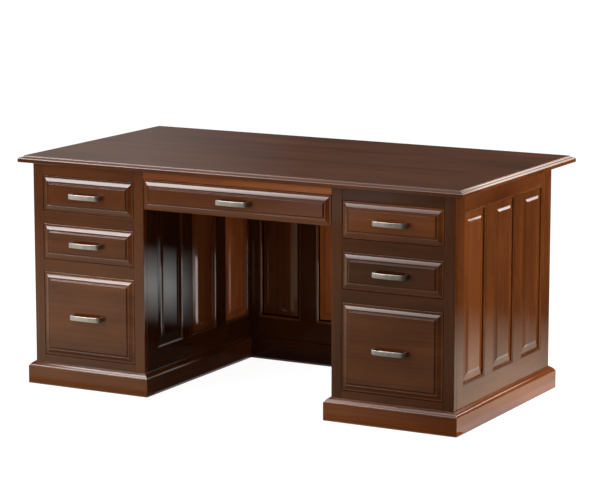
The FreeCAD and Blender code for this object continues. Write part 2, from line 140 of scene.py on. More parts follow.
# PAINTED_HOLLOW_SHADE is the near-black that hollows are darkened towards: painted shade.
PORE_STAIN, RUBBED_WOOD, PAINTED_HOLLOW_SHADE = (0.03, 0.008, 0.003), (0.26, 0.09, 0.028), (0.018, 0.006, 0.003)
NICKEL_DARK, NICKEL_LIGHT = (0.42, 0.395, 0.37), (0.54, 0.515, 0.49)
ZINC_DARK, ZINC_LIGHT = (0.46, 0.47, 0.49), (0.68, 0.69, 0.7)
MAPLE_DARK, MAPLE_LIGHT = (0.42, 0.26, 0.13), (0.66, 0.47, 0.28)
TIMBER_DARK, TIMBER_LIGHT = (0.36, 0.24, 0.13), (0.56, 0.41, 0.25)

# The photograph's view: turn and tilt, the eye's place (metres, Y from the carcass front) and the lens
VIEW_YAW, VIEW_PITCH = math.radians(-28.45), math.radians(10.15)
VIEW_EYE = (4.24073, -7.38184, 2.05734)
VIEW_SENSOR, VIEW_LENS = 36, 157.349

# Surround: its light on the desk, the floor's grey, glow and half width, and the lift of cards lying on it
SURROUND_LIGHT, FLOOR_GREY, FLOOR_GLOW, FLOOR_REACH = 0.25, 0.32, 0.94, 60.0
CARD_LIFT = 0.004

KNEE_WIDTH = CARCASS_WIDTH - 2 * PEDESTAL_WIDTH
MODESTY_FRONT = CARCASS_DEPTH - MODESTY_SETBACK - FRAME_THICKNESS

# Columns are the directions of a piece's own length, height and face when it is stood up
FACINGS = {
    "up": np.array([[1, 0, 0], [0, 1, 0], [0, 0, 1]]),
    "front": np.array([[1, 0, 0], [0, 0, -1], [0, 1, 0]]),
    "back": np.array([[-1, 0, 0], [0, 0, 1], [0, 1, 0]]),
    "right": np.array([[0, 0, 1], [1, 0, 0], [0, 1, 0]]),
    "left": np.array([[0, 0, -1], [-1, 0, 0], [0, 1, 0]]),
}


class Skin:
    """Closed skin over a stack of rings, with its own run of grain.

    Quads join neighbouring points of a ring to the same points of the next ring, and the first and last
    rings are filled. The sum of a . (b x c) over its triangles is the skin's volume six times over, and
    where that is below zero all the faces are turned round.
    """

    def __init__(self, rings, grain_axes=(0, 1, 2), tone=0.0, edge=0.0, mitred=False):
        stack, around = rings.shape[:2]
        index = np.arange(stack * around).reshape(stack, around)
        beside = np.roll(index, -1, axis=1)
        self.points = rings.reshape(-1, 3)
        self.quads = np.stack([index[:-1], beside[:-1], beside[1:], index[1:]], axis=-1).reshape(-1, 4)
        self.ends = [index[0, ::-1], index[-1]]
        self.grain = self.points[:, list(grain_axes)] * MM + draw.uniform(-GRAIN_SHIFT, GRAIN_SHIFT, 3)
        self.tone = np.full(len(self.points), tone + draw.normal(0, TONE_SPREAD))
        self.edge = np.broadcast_to(edge, (stack, around)).reshape(-1)
        strand = np.broadcast_to(np.arange(around), (stack, around)).reshape(-1)
        self.strand = strand if mitred else np.full(len(self.points), -1)
        fans = [
            np.stack([np.full(around - 2, end[0]), end[1:-1], end[2:]], axis=-1) for end in self.ends
        ]
        corner = self.points[np.concatenate([self.quads[:, :3], self.quads[:, [0, 2, 3]]] + fans)]
        volume = np.einsum("ij,ij->", corner[:, 0], np.cross(corner[:, 1], corner[:, 2]))
        if volume < 0:
            self.turn_round()

    def turn_round(self):
        self.quads = self.quads[:, ::-1]
        self.ends = [end[::-1] for end in self.ends]

    def stood(self, facing, origin):
        """The skin with its own axes turned to the named side and its zero at the origin given."""
        self.points = self.points @ FACINGS[facing].T + np.array(origin)
        return self

    def turned_over(self, middle, rise):
        """The skin upside down about its own zero, which goes to the middle given and up by the rise."""
        self.points = self.points * np.array([1, 1, -1]) + middle + np.array([0, 0, rise])
        self.turn_round()
        return self

    def mirrored(self, tone=0.0):
        """The skin on the other side of the desk, cut from another part of the plank; the tone given is
        painted light and shade.
        """
        other = object.__new__(Skin)
        other.__dict__.update(self.__dict__)
        other.points = self.points * np.array([-1, 1, 1])
        other.grain = self.grain + draw.uniform(-GRAIN_SHIFT, GRAIN_SHIFT, 3)
        other.tone = self.tone + tone + draw.normal(0, MIRROR_TONE_SPREAD)
        other.turn_round()
        return other


def softened(corners, radius, closed=False):
    """Outline with its corners rounded, and how sharp each point's corner is (hollows below zero).

    A corner P gives way to the curve (1-t)^2 A + 2t(1-t) P + t^2 B, where A and B lie the radius away
    from P along its two sides, with one more point a little further along each side.
    """
    corner = np.array(corners, float)
    before = np.roll(corner, 1, axis=0) - corner
    after = np.roll(corner, -1, axis=0) - corner
    before_length = np.linalg.norm(before, axis=1, keepdims=True)
    after_length = np.linalg.norm(after, axis=1, keepdims=True)
    before /= before_length
    after /= after_length
    reach = np.minimum(radius, EASE_SHARE * np.minimum(before_length, after_length))
    first = corner + before * reach
    last = corner + after * reach
    t = np.linspace(0, 1, 4)[:, None, None]
    arc = (1 - t) ** 2 * first + 2 * t * (1 - t) * corner + t ** 2 * last
    first_guard, last_guard = corner + before * reach * GUARD_REACH, corner + after * reach * GUARD_REACH
    line = np.concatenate([first_guard[None], arc, last_guard[None]]).transpose(1, 0, 2)
    turn = before[:, 0] * after[:, 1] - before[:, 1] * after[:, 0]
    sharpness = turn[:, None] * np.array([0, 0.5, 1, 1, 0.5, 0])
    if closed:
        following = np.roll(corner, -1, axis=0)
        area = np.sum(corner[:, 0] * following[:, 1] - corner[:, 1] * following[:, 0])
        return line.reshape(-1, 2), -np.sign(area) * sharpness.reshape(-1)
    inner = line[1:-1].reshape(-1, 2)
    return (
        np.concatenate([corner[:1], inner, corner[-1:]]),
        np.concatenate([[0], sharpness[1:-1].reshape(-1), [0]]),
    )


def bow(start, end, share, steps=7):
    """Points of a parabola from start to end that stands off the chord by a share of its length."""
    start, end = np.array(start, float), np.array(end, float)
    t = np.linspace(0, 1, steps)[:, None]
    chord = end - start
    off = np.array([-chord[1], chord[0]])
    return (start + t * chord + 4 * share * t * (1 - t) * off).tolist()


def board(low, high, along, ease=BOARD_EASE, tone=0.0):
    """Plank with rounded edges: rounded-rectangle sections stacked along its grain.

    A section's corner is an arc of radius (ease - inset) about a fixed centre, with one more point along
    each side. Towards an end the inset grows as ease (1 - cos a) and the section moves by ease sin a.
    """
    low, high = np.array(low, float), np.array(high, float)
    half = (high - low) / 2
    across, deep = [axis for axis in range(3) if axis != along]
    inset = ease * (1 - np.cos(END_ANGLES))
    reach = half[along] - ease + ease * np.sin(END_ANGLES) - ease * np.array([0, 0, 0, 1])
    inset = np.concatenate([inset, inset[::-1]])[:, None]
    station = np.concatenate([-reach, reach[::-1]])[:, None]
    quarter = np.repeat(np.arange(4), 5)
    angle = np.radians(90 * quarter + np.tile([0, 0, 45, 90, 90], 4))
    slide = ease * np.tile([-1, 0, 0, 0, 1], 4)
    side = np.array([[1, 1], [-1, 1], [-1, -1], [1, -1]])[quarter]
    rings = np.zeros((len(station), len(angle), 3))
    rings[..., along] = station
    rings[..., across] = (
        side[:, 0] * (half[across] - ease) + (ease - inset) * np.cos(angle) - slide * np.sin(angle)
    )
    rings[..., deep] = (
        side[:, 1] * (half[deep] - ease) + (ease - inset) * np.sin(angle) + slide * np.cos(angle)
    )
    side_wear = np.tile([0, 0.4, 1, 0.4, 0], 4)
    end_wear = np.array([0.6, 1, 0.4, 0, 0, 0.4, 1, 0.6])[:, None]
    strength = BOARD_WEAR if ease < CORNER_EASE else CORNER_WEAR
    skin = Skin(rings, (along, across, deep), tone, strength * np.maximum(side_wear, end_wear))
    skin.points = skin.points + (low + high) / 2
    return skin


def moulded_slab(width, height, rim, grain_axes=(0, 1, 2), tone=0.0, ease=MOULDING_EASE):
    """Slab lying flat with a moulded rim mitred round it: at each height of the rim, the corners of the
    rectangle (+-width/2, +-height/2) are drawn in by the rim's inset."""
    line, edge = softened(rim, ease)
    flat = SLAB_CORNERS * (np.array([width, height]) / 2 - line[:, None, :1])
    rise = np.broadcast_to(line[:, None, 1:], flat.shape[:2] + (1,))
    return Skin(np.concatenate([flat, rise], axis=-1), grain_axes, tone, edge[:, None], mitred=True)


def mitred_run(section, length, first_mitre, last_mitre, tone=0.0, ease=MOULDING_EASE):
    """Straight moulding along X: a section's point that stands out by y runs from x = -first_mitre y
    to x = length + last_mitre y, so both ends are cut at 45 degrees."""
    line, edge = softened(section, ease, closed=True)
    out, rise = line.T
    first = np.stack([-first_mitre * out, out, rise], axis=-1)
    last = np.stack([length + last_mitre * out, out, rise], axis=-1)
    return Skin(np.stack([first, last]), tone=tone, edge=edge)


def desk_top():
    """Top whose edge has a lower round, a plain band, an ogee and a small step up to the flat."""
    shoulder, step = TOP_THICKNESS - TOP_EDGE_DROP, TOP_THICKNESS - TOP_EDGE_STEP
    middle = (TOP_EDGE_WIDTH / 2, (shoulder + step) / 2)
    rim = [(TOP_LOWER_ROUND + TOP_FLAT, 0), (TOP_LOWER_ROUND, 0), (0, TOP_LOWER_ROUND), (0, shoulder)]
    rim += bow((TOP_OGEE_SETBACK, shoulder), middle, TOP_OGEE_BOW)[:-1]
    rim += bow(middle, (TOP_EDGE_WIDTH, step), -TOP_OGEE_BOW)
    rim += [(TOP_EDGE_WIDTH + TOP_STEP_SLOPE, TOP_THICKNESS), (TOP_EDGE_WIDTH + TOP_FLAT, TOP_THICKNESS)]
    width = CARCASS_WIDTH + 2 * TOP_SIDE
    depth = TOP_FRONT + CARCASS_DEPTH + TOP_BACK
    slab = moulded_slab(width, depth, rim, ease=TOP_EASE)
    return [slab.stood("up", (0, depth / 2 - TOP_FRONT, CARCASS_HEIGHT))]


def face_frame():
    """Two stiles and four rails at the front of the left pedestal."""
    left = -CARCASS_WIDTH / 2
    right = left + PEDESTAL_WIDTH
    inner_left, inner_right = left + FACE_STILE, right - FACE_STILE
    top_low = CARCASS_HEIGHT - FACE_TOP_RAIL - SMALL_OPENING
    middle_low = top_low - FACE_MIDDLE_RAIL - SMALL_OPENING
    rails = [
        (0, FACE_BOTTOM_RAIL),
        (middle_low - FACE_MIDDLE_RAIL, middle_low),
        (middle_low + SMALL_OPENING, top_low),
        (top_low + SMALL_OPENING, CARCASS_HEIGHT),
    ]
    stiles = [
        board((left, 0, 0), (inner_left, FRAME_THICKNESS, CARCASS_HEIGHT), 2, CORNER_EASE),
        board((inner_right, 0, 0), (right, FRAME_THICKNESS, CARCASS_HEIGHT), 2, CORNER_EASE),
    ]
    return stiles + [
        board((inner_left, 0, low), (inner_right, FRAME_THICKNESS, high), 0, 2 * BOARD_EASE)
        for low, high in rails
    ]


def raised_panel(width, height, tone=0.0):
    """Upright panel with a thin tongue, a gentle slope and a steeper bevel up to its flat field."""
    slope_start = PANEL_COVER + PANEL_MARGIN
    slope_end = slope_start + PANEL_SLOPE[0]
    slope_top = PANEL_TONGUE + PANEL_SLOPE[1]
    bevel_end, bevel_top = slope_end + PANEL_BEVEL[0], slope_top + PANEL_BEVEL[1]
    rim = [
        (0, 0),
        (0, PANEL_TONGUE),
        (slope_start, PANEL_TONGUE),
        *bow((slope_end, slope_top), (bevel_end, bevel_top), BEVEL_HOLLOW),
        (bevel_end + FIELD_FLAT, bevel_top),
    ]
    return moulded_slab(width + 2 * PANEL_COVER, height + 2 * PANEL_COVER, rim, (1, 0, 2), tone)


def sticking(width, height):
    """Moulded edge round an opening: four mitred runs with a fillet and a quarter-round to the panel."""
    face = FRAME_THICKNESS - STICKING_FILLET
    drop = STICKING_DEPTH - STICKING_FILLET
    floor = (FRAME_THICKNESS + PANEL_TONGUE) / 2 + TONGUE_PLAY
    angle = np.linspace(0, math.pi / 2, 6)
    curve = np.stack([STICKING_WIDTH * np.sin(angle), face - drop * (1 - np.cos(angle))], axis=-1)
    section = [(0, floor)] + curve.tolist() + [(STICKING_WIDTH, floor)]
    spans = np.array([width, height]) + 2 * STICKING_WIDTH
    runs = []
    for place in range(4):
        span, depth = spans[place % 2], spans[1 - place % 2]
        run = mitred_run(section, span, -1, -1, ease=STICKING_EASE)
        flat = run.points[:, :2] - np.array([span, depth]) / 2
        turn = place * math.pi / 2
        swing = np.array([[math.cos(turn), -math.sin(turn)], [math.sin(turn), math.cos(turn)]])
        run.points = np.concatenate([flat @ swing.T, run.points[:, 2:]], axis=1)
        runs.append(run)
    return runs


def panelled_wall(
    length, stiles, mullion, pitch, top_rail, facing, x, y,
    panel_tones_and_shading=(0.0, 0.0, 0.0), frame_tone_and_shade=0.0, rail_painted_light=0.0, double=False,
):
    """Frame members and raised panels of a wall whose first edge stands at (x, y).

    The flat members stop at the moulded edge of the openings, and rails and mullions fit between them.
    The top rail's tone is the frame's plus its painted light. A double wall is moulded on its other face too.
    """
    first_stile, last_stile = stiles
    high = CARCASS_HEIGHT - top_rail
    height = high - WALL_BOTTOM_RAIL
    room = length - first_stile - last_stile + mullion
    count = max(1, round(room / pitch))
    width = room / count - mullion
    edge = STICKING_WIDTH
    first, last = first_stile - edge, length - last_stile + edge
    low, top = WALL_BOTTOM_RAIL - edge, high + edge
    members = [
        # Frame tones carry painted shade on the kneehole's walls as well as the boards' own tone.
        board((0, 0, 0), (first, CARCASS_HEIGHT, FRAME_THICKNESS), 1, tone=frame_tone_and_shade),
        board((last, 0, 0), (length, CARCASS_HEIGHT, FRAME_THICKNESS), 1, tone=frame_tone_and_shade),
        board((first, 0, 0), (last, low, FRAME_THICKNESS), 0, tone=frame_tone_and_shade),
        board((first, top, 0), (last, CARCASS_HEIGHT, FRAME_THICKNESS), 0, tone=frame_tone_and_shade + rail_painted_light),
    ]
    panels = []
    tongue_low = (FRAME_THICKNESS - PANEL_TONGUE) / 2
    for place in range(count):
        start = first_stile + place * (width + mullion)
        middle = np.array([start + width / 2, WALL_BOTTOM_RAIL + height / 2, 0])
        if place:
            near, far = (start - mullion + edge, low, 0), (start - edge, top, FRAME_THICKNESS)
            members.append(board(near, far, 1, tone=frame_tone_and_shade))
        members += [run.stood("up", middle) for run in sticking(width, height)]
        # Panel tones carry painted light and shade on the kneehole's walls as well as the boards' own tone.
        panel = raised_panel(width, height, panel_tones_and_shading[place])
        panels.append(panel.stood("up", middle + np.array([0, 0, tongue_low])))
        if double:
            far_runs, far_panel = sticking(width, height), raised_panel(width, height)
            members += [run.turned_over(middle, FRAME_THICKNESS) for run in far_runs]
            panels.append(far_panel.turned_over(middle, FRAME_THICKNESS - tongue_low))
    for piece in members + panels:
        piece.stood(facing, (x, y, 0))
    return members, panels


def base_run(length, first_mitre, last_mitre, facing, x, y, tone=0.0):
    """Length of base moulding: a plain face, a narrow shelf and a flattened round cap with a small step."""
    angle = np.linspace(0, math.pi / 2, 11)
    reach = BASE_PROJECTION - BASE_SHELF - BASE_CROWN
    rise = BASE_HEIGHT - BASE_CROWN_STEP - BASE_FACE
    out, up = np.cos(angle) ** BASE_CAP_POWER, np.sin(angle) ** BASE_CAP_POWER
    cap = np.stack([BASE_CROWN + reach * out, BASE_FACE + rise * up], axis=-1)
    section = [(0, 0), (BASE_PROJECTION, 0), (BASE_PROJECTION, BASE_FACE)] + cap.tolist()
    section += [(BASE_CROWN, BASE_HEIGHT), (0, BASE_HEIGHT)]
    run = mitred_run(section, length, first_mitre, last_mitre, tone, ease=BASE_EASE)
    run.points = run.points[:, [0, 2, 1]]
    run.turn_round()
    return run.stood(facing, (x, y, 0))


def pedestal_base():
    """Base moulding round the left pedestal, broken where the modesty wall meets it."""
    left, knee = -CARCASS_WIDTH / 2, -KNEE_WIDTH / 2
    modesty_back = MODESTY_FRONT + FRAME_THICKNESS
    return [
        base_run(PEDESTAL_WIDTH, 1, 1, "front", left, 0),
        base_run(CARCASS_DEPTH, 1, 1, "left", left, CARCASS_DEPTH),
        base_run(PEDESTAL_WIDTH, 1, 1, "back", knee, CARCASS_DEPTH),
        base_run(MODESTY_FRONT, 1, -1, "right", knee, 0),
        base_run(CARCASS_DEPTH - modesty_back, -1, 1, "right", knee, modesty_back),
    ]


def modesty_base():
    """Base moulding along both faces of the modesty wall."""
    modesty_back = MODESTY_FRONT + FRAME_THICKNESS
    return [
        # The run facing the kneehole is darkened: painted shade.
        base_run(KNEE_WIDTH, -1, -1, "front", -KNEE_WIDTH / 2, MODESTY_FRONT, MODESTY_BASE_PAINTED_SHADE),
        base_run(KNEE_WIDTH, -1, -1, "back", KNEE_WIDTH / 2, modesty_back),
    ]


def drawer_front(node, tone, field_tone):
    """Front set in its opening: a margin flush with the frame, a bevel, a sunk ledge and a raised field."""
    low, high = (np.array(corner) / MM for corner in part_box(node))
    bevel_end = FRONT_MARGIN + FRONT_BEVEL_WIDTH
    bevel_top = FRONT_LIP + FRONT_BEVEL_RISE
    crown = bevel_end + FRONT_LEDGE
    field = crown + FRONT_CROWN_WIDTH
    rim = [
        (0, 0),
        (0, FRONT_LIP - FRONT_CHAMFER),
        (FRONT_CHAMFER, FRONT_LIP),
        *bow((FRONT_MARGIN, FRONT_LIP), (bevel_end, bevel_top), BEVEL_HOLLOW),
        (bevel_end + FRONT_QUIRK, bevel_top - FRONT_QUIRK),
        (crown, bevel_top - FRONT_QUIRK),
        (field, FRONT_THICKNESS),
        (field + FIELD_FLAT, FRONT_THICKNESS),
    ]
    slab = moulded_slab(high[0] - low[0], high[2] - low[2], rim, tone=tone)
    raised = np.clip((slab.points[:, 2] - bevel_top) / (FRONT_THICKNESS - bevel_top), 0, 1)
    slab.tone = slab.tone + (field_tone - tone) * raised
    middle = (low + high) / 2
    return [slab.stood("front", (middle[0], high[1] - CARCASS_FRONT, middle[2]))]


def pull(node):
    """Bowed strap between two feet: a rounded section carried along a line that comes out of the front,
    turns through a curved shoulder and runs over as a shallow parabola.

    The section is a superellipse: thickness/2 |cos a|^p by height/2 |sin a|^q, with the signs of both kept.
    """
    low, high = (np.array(corner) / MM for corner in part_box(node))
    half = PULL_LENGTH / 2 - PULL_STRAP / 2
    shoulder = PULL_PROJECTION - PULL_BOW - PULL_STRAP / 2
    t = np.linspace(0, 1, 10)[:, None]
    start, corner = np.array([-half, -(shoulder - PULL_CORNER)]), np.array([-half, -shoulder])
    bend_end = half - PULL_CORNER
    end = np.array([-bend_end, -shoulder - PULL_BOW * (1 - (bend_end / half) ** 2)])
    bend = (1 - t) ** 2 * start + 2 * t * (1 - t) * corner + t ** 2 * end
    x = np.linspace(-bend_end, bend_end, 31)[1:-1]
    front = np.stack([x, -shoulder - PULL_BOW * (1 - (x / half) ** 2)], axis=-1)
    share = np.linspace(0, 1, 5)[:-1, None]
    leg = share * start + (1 - share) * np.array([-half, 0])
    other = np.concatenate([leg, bend])[::-1] * np.array([-1, 1])
    line = np.concatenate([leg, bend, front, other])
    tangent = np.gradient(line, axis=0)
    tangent /= np.linalg.norm(tangent, axis=1, keepdims=True)
    outward = np.stack([tangent[:, 1], -tangent[:, 0]], axis=-1)
    angle = np.linspace(0, 2 * math.pi, 28, endpoint=False)
    near_foot = np.clip(1 + line[:, 1] / shoulder, 0, 1) ** 2
    thickness = PULL_STRAP + (PULL_FOOT - PULL_STRAP) * near_foot
    side = np.sign(np.cos(angle)) * np.abs(np.cos(angle)) ** PULL_SIDE_POWER
    rise = np.sign(np.sin(angle)) * np.abs(np.sin(angle)) ** PULL_RISE_POWER
    off = thickness[:, None] / 2 * side - (thickness[:, None] - PULL_STRAP) / 2
    rings = np.zeros((len(line), len(angle), 3))
    rings[..., :2] = line[:, None] + outward[:, None] * off[..., None]
    rings[..., 2] = PULL_HEIGHT / 2 * rise
    strap = Skin(rings)
    middle = (low + high) / 2
    strap.points = strap.points + np.array([middle[0], high[1] - CARCASS_FRONT, middle[2]])
    return [strap]


def node(tree, kind, sockets=None, **settings):
    """A shader node with its settings, and its sockets given values or joined to other nodes."""
    made = tree.nodes.new(kind)
    for name, value in settings.items():
        setattr(made, name, value)
    for name, value in (sockets or {}).items():
        if isinstance(value, bpy.types.NodeSocket):
            tree.links.new(value, made.inputs[name])
        else:
            made.inputs[name].default_value = value
    return made


def math_of(tree, operation, *values):
    return node(tree, "ShaderNodeMath", dict(enumerate(values)), operation=operation).outputs[0]


def stretched(tree, vector, factors):
    return node(tree, "ShaderNodeVectorMath", {0: vector, 1: factors}, operation="MULTIPLY").outputs[0]


def noise(tree, vector, factors, detail=3.0, roughness=0.55, distortion=0.0):
    """Noise drawn out along the grain: the factors are its frequency along, across and through the wood."""
    return node(
        tree,
        "ShaderNodeTexNoise",
        {
            "Vector": stretched(tree, vector, factors),
            "Scale": 1.0,
            "Detail": detail,
            "Roughness": roughness,
            "Distortion": distortion,
        },
    ).outputs["Fac"]


def ranged(tree, value, low, high, new_low, new_high):
    return node(
        tree,
        "ShaderNodeMapRange",
        {"Value": value, "From Min": low, "From Max": high, "To Min": new_low, "To Max": new_high},
    ).outputs["Result"]


def blended(tree, factor, first, second):
    """Two colours mixed by a factor."""
    return node(tree, "ShaderNodeMix", {0: factor, 6: first, 7: second}, data_type="RGBA").outputs[2]


def new_finish(name):
    finish = bpy.data.materials.new(name)
    finish.use_nodes = True
    return finish, finish.node_tree, finish.node_tree.nodes["Principled BSDF"]


def colour(red, green, blue):
    return (red, green, blue, 1.0)


def stained_wood(name, plank=0.0):
    """Dark red-brown stain under satin lacquer, on the grain that each board carries with it.

    With a plank width, the grain and tone change from plank to plank. Edges are rubbed lighter, and
    hollows are darkened with painted shade.
    """
    finish, tree, shader = new_finish(name)
    grain = node(tree, "ShaderNodeAttribute", attribute_name="grain").outputs["Vector"]
    tone = node(tree, "ShaderNodeAttribute", attribute_name="tone").outputs["Fac"]
    edge = node(tree, "ShaderNodeAttribute", attribute_name="edge").outputs["Fac"]
    if plank:
        across = node(tree, "ShaderNodeSeparateXYZ", {0: grain}).outputs["Y"]
        number = math_of(tree, "FLOOR", math_of(tree, "DIVIDE", across, plank))
        chance = node(tree, "ShaderNodeTexWhiteNoise", {"W": number}, noise_dimensions="1D")
        jump = stretched(tree, chance.outputs["Color"], (5.0, 0.7, 0.7))
        grain = node(tree, "ShaderNodeVectorMath", {0: grain, 1: jump}, operation="ADD").outputs[0]
        tone = math_of(tree, "MULTIPLY_ADD", chance.outputs["Value"], 0.14, tone)
    wander = noise(tree, grain, (1.1, 5.0, 5.0), 2.0)
    sideways = node(tree, "ShaderNodeCombineXYZ", {1: wander, 2: wander}).outputs[0]
    push = stretched(tree, sideways, (0, 0.05, 0.05))
    wavy = node(tree, "ShaderNodeVectorMath", {0: grain, 1: push}, operation="ADD").outputs[0]
    cloud = noise(tree, wavy, (2.6, 6.5, 6.5), 3.0, 0.5)
    flame = noise(tree, wavy, (0.8, 15.0, 15.0), 3.0, 0.45)
    rings = node(
        tree,
        "ShaderNodeTexWave",
        {
            "Vector": stretched(tree, wavy, (0.03, 1.0, 1.0)),
            "Scale": 21.0,
            "Distortion": 2.2,
            "Detail": 2.0,
            "Detail Scale": 0.7,
        },
        wave_type="RINGS",
        rings_direction="X",
        wave_profile="SIN",
    ).outputs["Fac"]
    fibre = noise(tree, wavy, (6.0, 420.0, 420.0), 2.0, 0.5)
    pores = ranged(tree, noise(tree, wavy, (36.0, 1500.0, 1500.0), 1.0), 0.62, 0.74, 0.0, 1.0)
    figure = math_of(
        tree,
        "ADD",
        math_of(tree, "MULTIPLY_ADD", cloud, 0.45, math_of(tree, "MULTIPLY", flame, 0.4)),
        math_of(tree, "MULTIPLY_ADD", rings, 0.03, math_of(tree, "MULTIPLY", fibre, 0.12)),
    )
    ramp = node(tree, "ShaderNodeValToRGB", {0: figure})
    stops = ramp.color_ramp.elements
    stops[0].position, stops[0].color = 0.32, colour(*STAIN_DARK)
    stops[1].position, stops[1].color = 0.68, colour(*STAIN_LIGHT)
    stop = stops.new(0.5)
    stop.color = colour(*STAIN_MIDDLE)
    filled = math_of(tree, "MULTIPLY", pores, 0.25)
    stain = blended(tree, filled, ramp.outputs["Color"], colour(*PORE_STAIN))
    # The tone scales the stain; on some boards it also carries painted light and shade.
    lift = math_of(tree, "ADD", tone, 1.0)
    stain = node(tree, "ShaderNodeVectorMath", {0: stain, "Scale": lift}, operation="SCALE").outputs[0]
    rubbed = ranged(tree, math_of(tree, "MULTIPLY", edge, fibre), 0.1, 0.6, 0.0, 0.4)
    stain = blended(tree, rubbed, stain, colour(*RUBBED_WOOD))
    # Hollows (edge below zero) are darkened: painted shade in the creases.
    hollow_shade = ranged(tree, edge, 0.0, -0.7, 0.0, 0.55)
    stain = blended(tree, hollow_shade, stain, colour(*PAINTED_HOLLOW_SHADE))
    relief = math_of(tree, "SUBTRACT", math_of(tree, "MULTIPLY", fibre, 0.6), pores)
    bump = node(tree, "ShaderNodeBump", {"Height": relief, "Strength": 0.12, "Distance": 0.0001})
    tree.links.new(stain, shader.inputs["Base Color"])
    tree.links.new(ranged(tree, fibre, 0.3, 0.7, 0.42, 0.54), shader.inputs["Roughness"])
    tree.links.new(bump.outputs["Normal"], shader.inputs["Normal"])
    shader.inputs["Specular IOR Level"].default_value = 0.0
    shader.inputs["Coat Weight"].default_value = 1.0
    shader.inputs["Coat Roughness"].default_value = 0.085
    return finish


def plain_timber(name, dark, light, gloss):
    """Pale timber of the drawer boxes and inner rails: its grain runs along each board, which the way the
    face looks tells: along Y on faces to the sides and upwards, along X on faces to the front and back."""
    finish, tree, shader = new_finish(name)
    place = node(tree, "ShaderNodeTexCoord").outputs["Object"]
    x, y, z = node(tree, "ShaderNodeSeparateXYZ", {0: place}).outputs
    normal = node(tree, "ShaderNodeNewGeometry").outputs["True Normal"]
    facing = math_of(tree, "ABSOLUTE", node(tree, "ShaderNodeSeparateXYZ", {0: normal}).outputs["Y"])
    ahead = math_of(tree, "GREATER_THAN", facing, 0.5)
    lengthwise = node(tree, "ShaderNodeCombineXYZ", {0: y, 1: z, 2: x}).outputs[0]
    crosswise = node(tree, "ShaderNodeCombineXYZ", {0: x, 1: z, 2: y}).outputs[0]
    ways = {0: ahead, 4: lengthwise, 5: crosswise}
    grain = node(tree, "ShaderNodeMix", ways, data_type="VECTOR").outputs[1]
    flame = noise(tree, grain, (1.1, 21.0, 21.0), 4.0, 0.5, 0.4)
    fibre = noise(tree, grain, (11.0, 520.0, 520.0), 3.0, 0.6)
    figure = math_of(tree, "MULTIPLY_ADD", flame, 0.75, math_of(tree, "MULTIPLY", fibre, 0.25))
    ramp = node(tree, "ShaderNodeValToRGB", {0: figure})
    stops = ramp.color_ramp.elements
    stops[0].position, stops[0].color = 0.36, dark
    stops[1].position, stops[1].color = 0.64, light
    bump = node(tree, "ShaderNodeBump", {"Height": fibre, "Strength": 0.2, "Distance": 0.0001})
    tree.links.new(ramp.outputs["Color"], shader.inputs["Base Color"])
    tree.links.new(ranged(tree, fibre, 0.3, 0.7, gloss - 0.05, gloss + 0.08), shader.inputs["Roughness"])
    tree.links.new(bump.outputs["Normal"], shader.inputs["Normal"])
    return finish


def pull_nickel():
    """Satin nickel: fine lengthwise brushing, a faint warm tarnish and soft cloudy roughness."""
    finish, tree, shader = new_finish("pull_nickel")
    grain = node(tree, "ShaderNodeAttribute", attribute_name="grain").outputs["Vector"]
    brushing = noise(tree, grain, (60.0, 60.0, 2600.0), 3.0, 0.6)
    cloud = noise(tree, grain, (55.0, 55.0, 55.0), 3.0)
    tarnish = ranged(tree, cloud, 0.35, 0.65, 0.0, 1.0)
    tint = blended(tree, tarnish, colour(*NICKEL_DARK), colour(*NICKEL_LIGHT))
    bump = node(tree, "ShaderNodeBump", {"Height": brushing, "Strength": 0.12, "Distance": 0.00005})
    rough = math_of(tree, "MULTIPLY_ADD", brushing, 0.08, ranged(tree, cloud, 0.3, 0.7, 0.36, 0.42))
    tree.links.new(tint, shader.inputs["Base Color"])
    tree.links.new(rough, shader.inputs["Roughness"])
    tree.links.new(bump.outputs["Normal"], shader.inputs["Normal"])
    shader.inputs["Metallic"].default_value = 1.0
    return finish


def slide_steel():
    """Zinc-plated strip: rolled streaks along the slide and faint cloudy plating."""
    finish, tree, shader = new_finish("slide_steel")
    place = node(tree, "ShaderNodeTexCoord").outputs["Object"]
    streak = noise(tree, place, (700.0, 14.0, 700.0), 3.0, 0.6)
    cloud = noise(tree, place, (40.0, 12.0, 40.0), 3.0)
    tint = blended(tree, cloud, colour(*ZINC_DARK), colour(*ZINC_LIGHT))
    rough = math_of(tree, "MULTIPLY_ADD", streak, 0.15, ranged(tree, cloud, 0.3, 0.7, 0.22, 0.36))
    bump = node(tree, "ShaderNodeBump", {"Height": streak, "Strength": 0.1, "Distance": 0.00005})
    tree.links.new(tint, shader.inputs["Base Color"])
    tree.links.new(rough, shader.inputs["Roughness"])
    tree.links.new(bump.outputs["Normal"], shader.inputs["Normal"])
    shader.inputs["Metallic"].default_value = 1.0
    return finish


